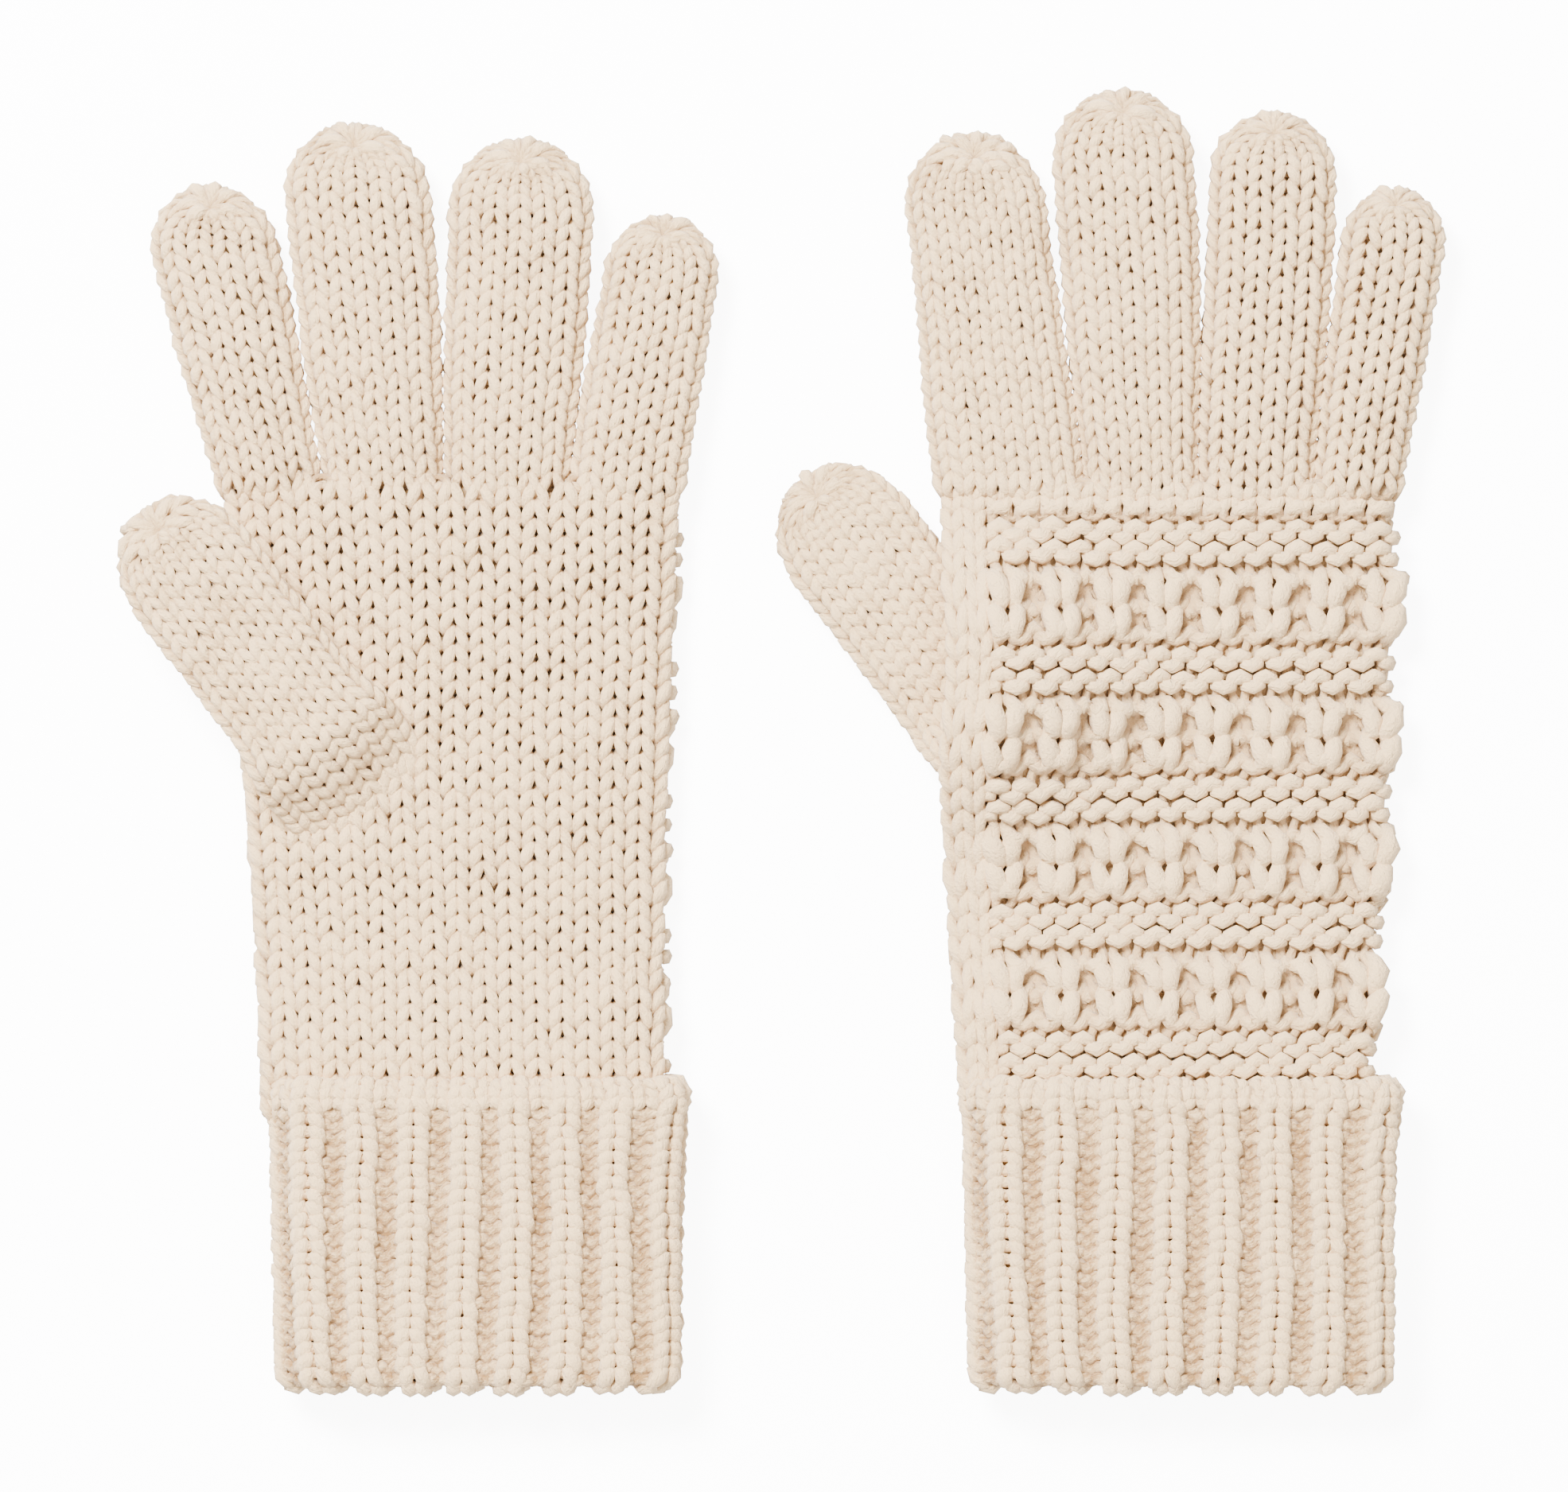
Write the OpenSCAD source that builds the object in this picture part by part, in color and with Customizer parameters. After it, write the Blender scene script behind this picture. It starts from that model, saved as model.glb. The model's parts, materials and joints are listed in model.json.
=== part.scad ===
// A pair of chunky knitted wool gloves with turned-up ribbed cuffs, laid side by side.
// The left glove lies palm up with its thumb folded over the palm. The right glove lies
// back up with its thumb under the palm. +Z is up, and the pair rests on z = 0.

/* [Cuff] */
// Width of the turned-up cuff, laid flat
cuff_w = 88; // [74:0.5:110]
// Height of the turned-up cuff
cuff_h = 67; // [40:0.5:90]
// Thickness of the whole cuff, four layers of ribbing and the room for the wrist
cuff_t = 22; // [20:0.5:30]
// Thickness of one layer of ribbing
rib_wall = 3.2; // [2:0.1:3.8]
// Height of the cast-on edge around the top of the turn-up
edge_h = 4; // [2:0.5:8]

/* [Hand] */
// Length of the hand from the top of the cuff to the finger bases
hand_l = 125; // [90:1:150]
// Width of the hand above the cuff, where it has come down from the cuff's height
wrist_w = 84; // [66:0.5:106]
// Thickness of the hand, laid flat
hand_t = 13; // [11:0.5:16]
// Thickness of the palm and back panels
panel_wall = 3; // [1.5:0.1:3.6]
// Thickness of the linking yarn in the side seams
seam_d = 2; // [1:0.1:2.4]

/* [Fingers] */
// Thickness of a finger, laid flat
finger_t = 13; // [10:0.5:16]
// Thickness of the knitting in fingers and thumb
finger_wall = 2.4; // [1.5:0.1:3]
// Distance from the finger bases to the line where the fingers bend again
knuckle_l = 30; // [20:0.5:36]
// Room between the bases of neighbouring fingers
finger_gap = 0.9; // [0.8:0.05:1.4]
// Room between pieces that bend against each other
gap = 0.5; // [0.4:0.05:0.8]
// Depth of the drawn-in stitches that close each tip
gather_h = 1.6; // [1:0.1:2.4]

/* [Left glove] */
// Lengths of the index, middle, ring and little fingers
left_l = [61.7, 75, 71.7, 55.3]; // [50:0.1:98]
// Widths of the same fingers at the base
left_base_w = [22, 24.5, 25.5, 22.9]; // [16:0.1:38]
// Widths of the same fingers near the tip
left_tip_w = [27.8, 30.6, 30.6, 24.4]; // [18:0.1:38]
// Room between neighbouring fingertips
left_tip_gap = [1.5, 1.7, 2.6]; // [0.8:0.1:8]

/* [Right glove] */
// Lengths of the index, middle, ring and little fingers
right_l = [72.5, 82, 77.2, 61.2]; // [50:0.1:98]
// Widths of the same fingers at the base
right_base_w = [30.7, 23.1, 23.4, 17.7]; // [16:0.1:38]
// Widths of the same fingers near the tip
right_tip_w = [30.4, 29.6, 26.8, 22]; // [18:0.1:38]
// Room between neighbouring fingertips
right_tip_gap = [0.9, 0.9, 0.9]; // [0.8:0.1:8]

/* [Thumb] */
// Length of the thumb from its root to its tip
thumb_l = 64; // [50:0.5:80]
// Width of the thumb
thumb_w = 30.6; // [24:0.1:37]
// Thickness of the thumb, laid flat
thumb_t = 10.5; // [9:0.1:13]
// Angle of the thumb away from the fingers
thumb_angle = 37.5; // [30:0.5:45]
// Distance from the thumb's root to the line where it bends
thumb_knuckle_l = 35; // [28:0.5:42]

/* [Pair] */
// Distance between the middles of the two cuffs
pair_spacing = 146.8; // [146:0.1:190]

/* [Hidden] */
LEFT = 0;
RIGHT = 1;
SIDES = ["left", "right"];
FINGERS = ["index", "middle", "ring", "little"];

around = 20;             // points around a finger, a multiple of 4
panel_cells = 16;        // cells across a panel
panel_rows = 16;         // cells along a panel
roundness = 2.5;         // exponent of the flattened cross-sections
slope_l = 34;            // length over which the hand comes down from the cuff's height
tip_line = 45;           // distance from the finger bases at which tip widths are measured
seam_sides = 8;
seam_inset = 1.6 * seam_d; // how far inside the hand's wall a side seam runs
elbow_l = 14;            // length of the thumb's mouth in the palm
elbow_steps = 4;
crease_r = 0.4;          // radius of the crease on the inside of that mouth's elbow
dome_shares = [0.4, 0.7, 1]; // where the rings of a rounded tip stand, as shares of its arc
join_d = 2.4;            // thickness of the yarn that closes the hand between two fingers
thumb_lift = thumb_t + crease_r + 0.4 * gap; // how far the right hand rides up over its thumb
lift_level = thumb_w / 2 - 3.8; // half width over which that rise is level
lift_slope = 34.5;       // width over which it falls away again
lift_reach = [lift_level + lift_slope, 40]; // reach of the rise across and along the hand
lift_flat = lift_level / lift_reach[0];

wrist_x = [-2.7, -2];    // middle of the hand at the cuff, left and right
top_x = [-6.2, -2];      // middle of the hand at the finger bases
fan_x = [-10.2, -1.2];   // middle of the four fingers at the tip line
swell = [1.6, 0.7];      // how late the hand widens towards the fingers
wrist_step = 2;          // distance from the side of the cuff to the side of the hand
crotch_x = [-18.36, -27.66];   // where the thumb's inner side leaves the palm
crotch_below = [48.19, 40.89]; // the same point's distance below the finger bases

finger_l = [left_l, right_l];
base_w = [left_base_w, right_base_w];
tip_w = [left_tip_w, right_tip_w];
tip_gap = [left_tip_gap, right_tip_gap];

hand_top = cuff_h + hand_l;
hand_low = cuff_h + gap;
half_t = hand_t / 2;
thumb_dir = [-sin(thumb_angle), cos(thumb_angle)];
thumb_side = [cos(thumb_angle), sin(thumb_angle)];
thumb_root = [for (g = [LEFT, RIGHT])
    [crotch_x[g], hand_top - crotch_below[g]] - thumb_w / 2 * thumb_side];

function clamp01(t) = min(1, max(0, t));
function smooth(t) = let (c = clamp01(t)) c * c * (3 - 2 * c);
function mix(a, b, t) = a + (b - a) * t;
function sum_to(v, n) = n <= 0 ? 0 : v[n - 1] + sum_to(v, n - 1);
function signed_power(v, e) = sign(v) * pow(abs(v), e);

// One point of a flattened cross-section with half sizes a and b
function oval(a, b, angle) = [
    a * signed_power(cos(angle), 2 / roundness),
    b * signed_power(sin(angle), 2 / roundness)
];

// ---- Where the fingers stand -------------------------------------------------------

function base_total(g) = sum_to(base_w[g], 4) + 3 * finger_gap;
function tip_total(g) = sum_to(tip_w[g], 4) + sum_to(tip_gap[g], 3);
function base_x(g, f) = top_x[g] - base_total(g) / 2 + sum_to(base_w[g], f) + f * finger_gap
    + base_w[g][f] / 2;
function fan_at(g, f) = fan_x[g] - tip_total(g) / 2 + sum_to(tip_w[g], f)
    + sum_to(tip_gap[g], f) + tip_w[g][f] / 2;
function finger_x(g, f, y) = mix(base_x(g, f), fan_at(g, f), y / tip_line);
function dome_l(g, f) = 0.48 * tip_w[g][f];

// Distances from the start of a rounded tip of radius r to its rings, up to the gather
function dome_stops(r) = let (reach = asin(1 - gather_h / r))
    [for (share = dome_shares) r * sin(share * reach)];

// Half width and half thickness of a finger at distance y from its base, less an inset
function dome(g, f, y) = let (l = finger_l[g][f], r = dome_l(g, f)) clamp01((y - l + r) / r);
function finger_a(g, f, y, inset) =
    let (grown = mix(base_w[g][f], tip_w[g][f], smooth(y / tip_line)) / 2)
    grown * sqrt(1 - pow(dome(g, f, y), 2)) - inset;
function finger_b(g, f, y, inset) =
    finger_t / 2 * pow(1 - pow(dome(g, f, y), 2.4), 1 / 2.4) - inset;

// ---- The hand's own surface --------------------------------------------------------

function lift_at(x, y) = let (
        c = thumb_root[RIGHT] + 10 * thumb_dir,
        r = norm([(x - c[0]) / lift_reach[0], (y - c[1]) / lift_reach[1]])
    ) thumb_lift * (1 - smooth((r - lift_flat) / (1 - lift_flat)));
function mid_z(g, x, y) = mix(cuff_t / 2, half_t, smooth((y - cuff_h) / slope_l))
    + (g == RIGHT ? lift_at(x, y) : 0);
function hand_share(y) = clamp01((y - cuff_h) / hand_l);
function hand_x(g, y) = mix(wrist_x[g], top_x[g], hand_share(y));
function wrist_at(y) = mix(cuff_w - 2 * wrist_step, wrist_w, smooth((y - cuff_h) / slope_l));
function hand_a(g, y) = mix(wrist_at(y), base_total(g), pow(hand_share(y), swell[g])) / 2;
function hand_point(g, y, angle, inset) = let (
        p = oval(hand_a(g, y) - inset, half_t - inset, angle),
        x = hand_x(g, y) + p[0]
    ) [x, y, mid_z(g, x, y) + p[1]];

// ---- Solids built from rings of points ---------------------------------------------

// Two triangles for the cell between points a, b (one row) and c, d (the next row)
function cell(a, b, c, d, flip) = flip ? [[a, b, c], [b, d, c]] : [[a, c, b], [b, c, d]];

// A tube open at both ends, from rings of n points outside and as many rings inside
module ring_shell(outer, inner, n, flip = false) {
    rows = len(outer);
    inside = rows * n;
    last = (rows - 1) * n;
    faces = [
        for (r = [0:rows - 2], i = [0:n - 1]) let (j = (i + 1) % n, k = r * n)
            each concat(
                cell(k + i, k + j, k + n + i, k + n + j, flip),
                cell(inside + k + i, inside + k + j, inside + k + n + i,
                     inside + k + n + j, !flip)),
        for (i = [0:n - 1]) let (j = (i + 1) % n)
            each concat(
                cell(i, j, inside + i, inside + j, !flip),
                cell(last + i, last + j, inside + last + i, inside + last + j, flip))
    ];
    polyhedron(points = concat([for (r = outer) each r], [for (r = inner) each r]),
               faces = faces, convexity = 6);
}

// A solid of rings with flat ends, or with a point at the end if tip is given
module ring_solid(rings, n, tip, flip = false) {
    rows = len(rings);
    last = (rows - 1) * n;
    start = [for (i = [0:n - 1]) flip ? n - 1 - i : i];
    end = [for (i = [0:n - 1]) last + (flip ? i : n - 1 - i)];
    sides = [for (r = [0:rows - 2], i = [0:n - 1]) let (j = (i + 1) % n, k = r * n)
        if (rows > 1) each cell(k + i, k + j, k + n + i, k + n + j, flip)];
    close = is_undef(tip) ? [end]
        : [for (i = [0:n - 1]) let (j = (i + 1) % n)
            flip ? [last + i, last + j, rows * n] : [last + i, rows * n, last + j]];
    polyhedron(points = concat([for (r = rings) each r], is_undef(tip) ? [] : [tip]),
               faces = concat([start], sides, close), convexity = 4);
}

// ---- Fingers -----------------------------------------------------------------------

function finger_ring(g, f, y, inset) = [
    for (i = [0:around - 1]) let (p = oval(
            finger_a(g, f, y, inset), finger_b(g, f, y, inset), i * 360 / around))
        [finger_x(g, f, y) + p[0], hand_top + y, finger_t / 2 + p[1]]
];

// The tube of finger f between the distances listed in stops
module finger_tube(g, f, stops) {
    ring_shell([for (y = stops) finger_ring(g, f, y, 0)],
               [for (y = stops) finger_ring(g, f, y, finger_wall)], around, flip = true);
}

module finger_base(g, f) color("antiquewhite")
    finger_tube(g, f, [for (k = [0:4]) mix(gap, knuckle_l - gap / 2, k / 4)]);

function finger_end_stops(g, f) = let (straight = finger_l[g][f] - dome_l(g, f)) concat(
    [for (k = [0:2]) mix(knuckle_l + gap / 2, straight, k / 2)],
    [for (y = dome_stops(dome_l(g, f))) straight + y]);

module finger_end(g, f) color("linen") finger_tube(g, f, finger_end_stops(g, f));

module finger_gather(g, f) color("wheat") {
    l = finger_l[g][f];
    ring_solid([for (h = [gather_h, gather_h * 0.4]) finger_ring(g, f, l - h, 0)],
               around, [finger_x(g, f, l), hand_top + l, finger_t / 2], flip = true);
}

// ---- Thumb -------------------------------------------------------------------------

// Height of the palm surface that the thumb leaves, and the way it rises from there
function thumb_floor(g) = g == LEFT ? hand_t + gap + crease_r : thumb_t;
function thumb_rise(g) = g == LEFT ? 1 : -1;
thumb_dome = 0.48 * thumb_w;
thumb_mouth = [for (root = thumb_root) root + elbow_l / 2 * thumb_dir];

// A point of the thumb at distance s along it, d across it and h above the palm
function thumb_point(g, s, d, h) = let (p = thumb_root[g] + s * thumb_dir + d * thumb_side)
    [p[0], p[1], thumb_floor(g) + thumb_rise(g) * h];

// A ring of the elbow, turned by angle about the inner edge of the thumb's mouth
function elbow_ring(g, angle, inset) = let (
        b = mix(elbow_l, thumb_t, sin(angle)) / 2
    ) [for (i = [0:around - 1]) let (
            p = oval(thumb_w / 2 - inset, b - inset, i * 360 / around),
            reach = b + p[1] + crease_r
        ) thumb_point(g, elbow_l + crease_r - reach * cos(angle), p[0],
                      reach * sin(angle) - crease_r)];

function thumb_ring(g, s, inset) = let (
        t = clamp01((s - thumb_l + thumb_dome) / thumb_dome),
        a = thumb_w / 2 * sqrt(1 - t * t) - inset,
        b = thumb_t / 2 * pow(1 - pow(t, 2.4), 1 / 2.4) - inset
    ) [for (i = [0:around - 1]) let (p = oval(a, b, i * 360 / around))
        thumb_point(g, s, p[0], thumb_t / 2 + p[1])];

function thumb_base_rings(g, inset) = concat(
    [for (k = [0:elbow_steps - 1]) elbow_ring(g, k * 90 / elbow_steps, inset)],
    [for (k = [0:2])
        thumb_ring(g, mix(elbow_l + crease_r, thumb_knuckle_l - gap / 2, k / 2), inset)]);
function thumb_end_rings(g, inset) = concat(
    [for (k = [0:1]) thumb_ring(g, mix(thumb_knuckle_l + gap / 2, thumb_l - thumb_dome, k), inset)],
    [for (s = dome_stops(thumb_dome)) thumb_ring(g, thumb_l - thumb_dome + s, inset)]);

module thumb_base(g) color("antiquewhite")
    ring_shell(thumb_base_rings(g, 0), thumb_base_rings(g, finger_wall), around,
               flip = g == LEFT);

module thumb_end(g) color("linen")
    ring_shell(thumb_end_rings(g, 0), thumb_end_rings(g, finger_wall), around,
               flip = g == LEFT);

module thumb_gather(g) color("wheat")
    ring_solid([for (h = [gather_h, gather_h * 0.4]) thumb_ring(g, thumb_l - h, 0)],
               around, thumb_point(g, thumb_l, 0, thumb_t / 2), flip = g == LEFT);

// ---- Hand --------------------------------------------------------------------------

// The column and row of cells that meet in the middle of the thumb's mouth
function mouth_column(g) = let (
        share = (thumb_mouth[g][0] - hand_x(g, thumb_mouth[g][1])) / hand_a(g, thumb_mouth[g][1])
    ) round(acos(signed_power(share, roundness / 2)) / 180 * panel_cells);
function mouth_row(g) = round((thumb_mouth[g][1] - hand_low) / (hand_top - hand_low) * panel_rows);

// Half of the hand, above its middle if half is 1 and below it if half is -1. Where there
// is a mouth, the four cells around its middle are left out.
module panel(g, half, mouth) {
    w = panel_cells + 1;
    rows = panel_rows + 1;
    inside = w * rows;
    function y_of(r) = mix(hand_low, hand_top, r / panel_rows);
    points = [for (inset = [0, panel_wall], r = [0:panel_rows], c = [0:panel_cells])
        hand_point(g, y_of(r), half * c * 180 / panel_cells, inset)];
    function open(r, c) = mouth && abs(c + 0.5 - mouth_column(g)) < 1
        && abs(r + 0.5 - mouth_row(g)) < 1;
    flip = half < 0;
    skins = [for (r = [0:panel_rows - 1], c = [0:panel_cells - 1]) if (!open(r, c))
        let (k = r * w + c) each concat(
            cell(k, k + 1, k + w, k + w + 1, !flip),
            cell(inside + k, inside + k + 1, inside + k + w, inside + k + w + 1, flip))];
    // Walls close each edge between a cell that is there and one that isn't
    function there(r, c) = r >= 0 && c >= 0 && r < panel_rows && c < panel_cells
        && !open(r, c);
    across = [for (r = [0:panel_rows], c = [0:panel_cells - 1])
        let (k = r * w + c, up = there(r, c), down = there(r - 1, c))
        if (up != down) each cell(k, k + 1, inside + k, inside + k + 1, up ? flip : !flip)];
    along = [for (r = [0:panel_rows - 1], c = [0:panel_cells])
        let (k = r * w + c, right = there(r, c), left = there(r, c - 1))
        if (right != left)
            each cell(k, k + w, inside + k, inside + k + w, right ? !flip : flip)];
    polyhedron(points = points, faces = concat(skins, across, along), convexity = 8);
}

module palm_panel(g) color("ivory")
    panel(g, g == LEFT ? 1 : -1, true);

module back_panel(g) color("cornsilk") panel(g, g == LEFT ? -1 : 1, false);

// Half of the room between palm and back at distance x from the middle of the finger bases
function room_at(g, x) = let (share = (abs(x) + join_d / 2) / (base_total(g) / 2 - panel_wall))
    (half_t - panel_wall) * pow(1 - pow(share, roundness), 1 / roundness);

// The yarn that joins palm and back between two fingers
module finger_joins(g) color("tan")
    for (f = [0:2]) {
        x = base_x(g, f) + (base_w[g][f] + finger_gap) / 2;
        translate([x, hand_top - join_d, half_t])
            cylinder(d = join_d, h = 2 * (room_at(g, x - top_x[g]) - 1.5 * gap), center = true,
                     $fn = 24);
    }

// The linking yarn inside one side of the hand. side is -1 at the thumb, 1 at the little finger
module side_seam(g, side) color("tan") {
    stops = [for (k = [0:12]) mix(hand_low, hand_top - gap, k / 12)];
    ring_solid([for (y = stops) let (
            x = hand_x(g, y) + side * (hand_a(g, y) - panel_wall - seam_inset)
        ) [for (i = [0:seam_sides - 1]) let (a = i * 360 / seam_sides)
            [x + seam_d / 2 * cos(a), y, mid_z(g, x, y) + seam_d / 2 * sin(a)]]],
        seam_sides, undef, flip = true);
}

// ---- Cuff --------------------------------------------------------------------------

// An extruded ring with round ends: w wide, t thick, from y0 to y1, with the given wall
module flat_ring(w, t, y0, y1, wall) {
    translate([0, y1, cuff_t / 2]) rotate([90, 0, 0]) linear_extrude(y1 - y0)
        difference() {
            flat_oval(w, t);
            flat_oval(w - 2 * wall, t - 2 * wall);
        }
}

module flat_oval(w, t) {
    square([w - t, t], center = true);
    for (s = [-1, 1]) translate([s * (w - t) / 2, 0]) circle(d = t, $fn = 48);
}

layer_gap = 0.6 * gap;
inner_w = cuff_w - 2 * (rib_wall + layer_gap);
inner_t = cuff_t - 2 * (rib_wall + layer_gap);
fold_wall = 2 * rib_wall + layer_gap; // both layers, where the cuff folds over

module cuff_inner() color("bisque")
    flat_ring(inner_w, inner_t, rib_wall + layer_gap, cuff_h, rib_wall);

module cuff_turnup() color("blanchedalmond") {
    flat_ring(cuff_w, cuff_t, 0, cuff_h - edge_h, rib_wall);
    flat_ring(cuff_w, cuff_t, 0, rib_wall, fold_wall);
}

module cuff_edge() color("burlywood")
    flat_ring(cuff_w, cuff_t, cuff_h - edge_h, cuff_h, rib_wall);

// ---- The pair ----------------------------------------------------------------------

// The pair is centred on its own outline: from the left thumb to the right little
// finger, and from the cuffs to the longest fingertip
thumb_edge_x = min([for (ring = thumb_end_rings(LEFT, 0), p = ring) p[0]]);
little_edge_x = max([for (y = finger_end_stops(RIGHT, 3), p = finger_ring(RIGHT, 3, y, 0)) p[0]]);
left_x = -(thumb_edge_x + little_edge_x + pair_spacing) / 2;
longest = max(max(left_l), max(right_l));
low_y = -(hand_top + longest) / 2;

module place(g) translate([left_x + (g == RIGHT ? pair_spacing : 0), low_y, 0]) children();

module wanted(name) children();

for (g = [LEFT, RIGHT]) {
    s = SIDES[g];
    wanted(str(s, "_palm_panel")) place(g) palm_panel(g);
    wanted(str(s, "_back_panel")) place(g) back_panel(g);
    wanted(str(s, "_thumb_side_seam")) place(g) side_seam(g, -1);
    wanted(str(s, "_little_side_seam")) place(g) side_seam(g, 1);
    wanted(str(s, "_cuff_inner")) place(g) cuff_inner();
    wanted(str(s, "_cuff_turnup")) place(g) cuff_turnup();
    wanted(str(s, "_cuff_edge")) place(g) cuff_edge();
    wanted(str(s, "_finger_joins")) place(g) finger_joins(g);
    wanted(str(s, "_thumb_base")) place(g) thumb_base(g);
    wanted(str(s, "_thumb_end")) place(g) thumb_end(g);
    wanted(str(s, "_thumb_gather")) place(g) thumb_gather(g);
    for (f = [0:3]) {
        wanted(str(s, "_", FINGERS[f], "_base")) place(g) finger_base(g, f);
        wanted(str(s, "_", FINGERS[f], "_end")) place(g) finger_end(g, f);
        wanted(str(s, "_", FINGERS[f], "_gather")) place(g) finger_gather(g, f);
    }
}
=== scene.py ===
"""A pair of chunky knitted wool gloves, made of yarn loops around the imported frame."""
import json
import math
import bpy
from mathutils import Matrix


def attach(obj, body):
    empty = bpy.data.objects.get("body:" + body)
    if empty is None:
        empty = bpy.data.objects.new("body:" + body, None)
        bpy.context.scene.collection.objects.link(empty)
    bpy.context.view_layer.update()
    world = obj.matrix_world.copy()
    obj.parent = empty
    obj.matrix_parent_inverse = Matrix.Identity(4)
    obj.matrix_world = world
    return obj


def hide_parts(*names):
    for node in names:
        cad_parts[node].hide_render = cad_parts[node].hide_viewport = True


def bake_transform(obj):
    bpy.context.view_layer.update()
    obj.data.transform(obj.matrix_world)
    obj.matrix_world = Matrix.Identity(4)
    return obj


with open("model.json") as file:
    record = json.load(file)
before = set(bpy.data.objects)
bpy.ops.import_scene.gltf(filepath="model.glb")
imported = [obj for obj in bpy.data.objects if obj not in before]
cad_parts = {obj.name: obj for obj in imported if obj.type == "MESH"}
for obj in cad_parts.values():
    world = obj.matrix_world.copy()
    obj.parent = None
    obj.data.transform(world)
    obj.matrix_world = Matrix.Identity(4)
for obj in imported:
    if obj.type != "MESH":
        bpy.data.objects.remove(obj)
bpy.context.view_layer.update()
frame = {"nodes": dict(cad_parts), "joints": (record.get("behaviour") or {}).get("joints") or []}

import zlib

import bpy
import numpy as np
from mathutils import Vector
from mathutils.bvhtree import BVHTree

MM = 0.001
SIDES = ("left", "right")
FINGERS = ("index", "middle", "ring", "little")
JOINTS = {joint["name"]: joint for joint in frame["joints"]}

COLUMNS = 240          # points around a closed sheet
RING_STEP = 1.4        # distance between the rings of a finger's sheet, mm
LOOP_POINTS = 12       # points along the yarn of one loop
YARN_SIDES = 6         # sides of the yarn
FLATNESS = 0.92        # height of the yarn's section as a share of its width
TWIST = 0.45           # turn of the fibres around the yarn, radians for each mm
UNEVEN = (0.04, 0.05, 0.05, 0.12)     # spread of a loop's place, row, thickness and height
NARROWEST = 0.62       # share of its width at which a wale runs together with the next
LINK_TOP = 2.2         # height that counts as the top of a linking yarn, mm
ROUNDNESS = 2.5        # exponent of the flattened cross-sections
SKIN_FACE = 2.2        # size of the faces of the skin under the yarn, mm
SKIN_TOP = {"hand": -1.3, "finger": -1.05, "rib": -2.0, "band": -1.0}   # its height, mm
SKIN_SHADE_LEVEL = -1.2      # its level, low enough that the skin is painted all in the tan shade of the hollows
SKIN_GRAIN = 0.7       # size of the yarn's fibres on it, against the yarn's own

# The hand
PALM_ROW = 3.83        # height of a palm row, mm
PALM_WALES = 16
TUCK = 8.5             # how far the hand goes down into the cuff, mm
TOP_EASE = 1.0         # how far the knit stands past the hand's sides at the fingers, mm
TOP_SHIFT = 0.4        # and how far it is moved towards +X
HAND_EASE = {"left": 1.9, "right": 2.6}    # the same two from the thumb down
HAND_SHIFT = {"left": -0.5, "right": -0.6}
EASE_FADE = (35.0, 60.0)   # depths below the fingers between which they change
HAND_STEP = 1.5        # distance between the rings of the hand's sheet, mm

# The textured back
BORDER_WALES = 2       # plain wales between the thumb-side seam and the texture
BORDER_SHARE = 0.092   # share of the back's width that they take
TEXTURE_WALES = 15
RIDGE_ROW = 4.63       # height of a purl ridge, mm
PLUMP_ROW = 6.95       # height of a row of plump stitches, mm
PLUMP_SHARE = 0.63     # share of a pair of wales that the plump one takes
BAND_BULGE = 2.2       # how far a band of plump stitches stands out at the side, mm
RIDGE_INSET = 1.0      # how far the ridges draw the side in, mm

# Fingers and thumbs
FINGER_WALE = 4.8      # width of a finger's wale, mm
FINGER_ROW = 3.4
THUMB_WALES = 14
# How far the knit stands past the sides of each finger, of its root and of the thumb, mm
FINGER_EASE = {"index": 0.45, "middle": 0.7, "ring": 0.7, "little": 0.7}
ROOT_EASE = 0.9
THUMB_EASE = 0.5
ROOT_FADE = (42.0, 12.0)   # heights over the hand between which the root begins
TIP_SHIFT = {"left": 1.4, "right": 1.0}    # how far the fingers straighten up, mm
SHIFT_OVER = 55.0      # height over the hand at which they have done so
TIP_LEAN = 0.35        # share of its finger's lean that a tip keeps
TIP_TILT = math.radians(46)   # how far the closing of a tip turns towards the upper face
DOME_SHARE = 0.48      # length of a thumb's rounded tip as a share of its width
THUMB_START = -15.0    # where the thumb's knitting starts to rise out of the palm, mm
THUMB_FLARE = {"left": 2.4, "right": 0.6}  # how much wider the thumb is at its root, mm
# Place along Y from the finger's foot and half width of the closing stitches, mm
JOIN_STITCHES = ((-3.8, 3.2), (-1.0, 2.8))

# The cuffs
RIB_WALES = 34         # knit and purl wales around a cuff
RIB_ROW = 2.7
KNIT_SHARE = 0.65      # share of a rib's width that its knit wale takes
RIB_LIFT = 1.35        # how far knit wales stand out of the ribbing and purl wales sink in
PURL_HEAD = 0.6        # reach of a purl loop's head in the ribbing
RIB_PHASE = 0.22       # where the first rib lies, in ribs
RIB_WAVE = 0.05        # how far the ribs waver, in ribs
LAYER_DROP = 2.5       # distance between the two layers of ribbing, mm
CUFF_EASE = {"left": 0.9, "right": 3.0}    # how far the ribbing stands past the cuff's sides
CUFF_SHIFT = {"left": 0.3, "right": 0.9}   # and how far it is moved towards +X, mm
CUFF_CORNER = 6.7      # radius of the lower corners, mm
CUFF_FLARE = 1.2       # how much wider the cuff gets from its fold to its top, mm
BAND = 6.0             # height of the cast-on band, mm
BAND_ROWS = 4
BAND_EASE = 1.1        # how far the band stands out past the ribbing, mm
BAND_PHASE = 0.59      # where its first wale lies, in wales
MOUTH = 12.0           # how far the turn-up's ribbing goes up inside the mouth, mm


# ---- Yarn sizes, mm ----

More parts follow.
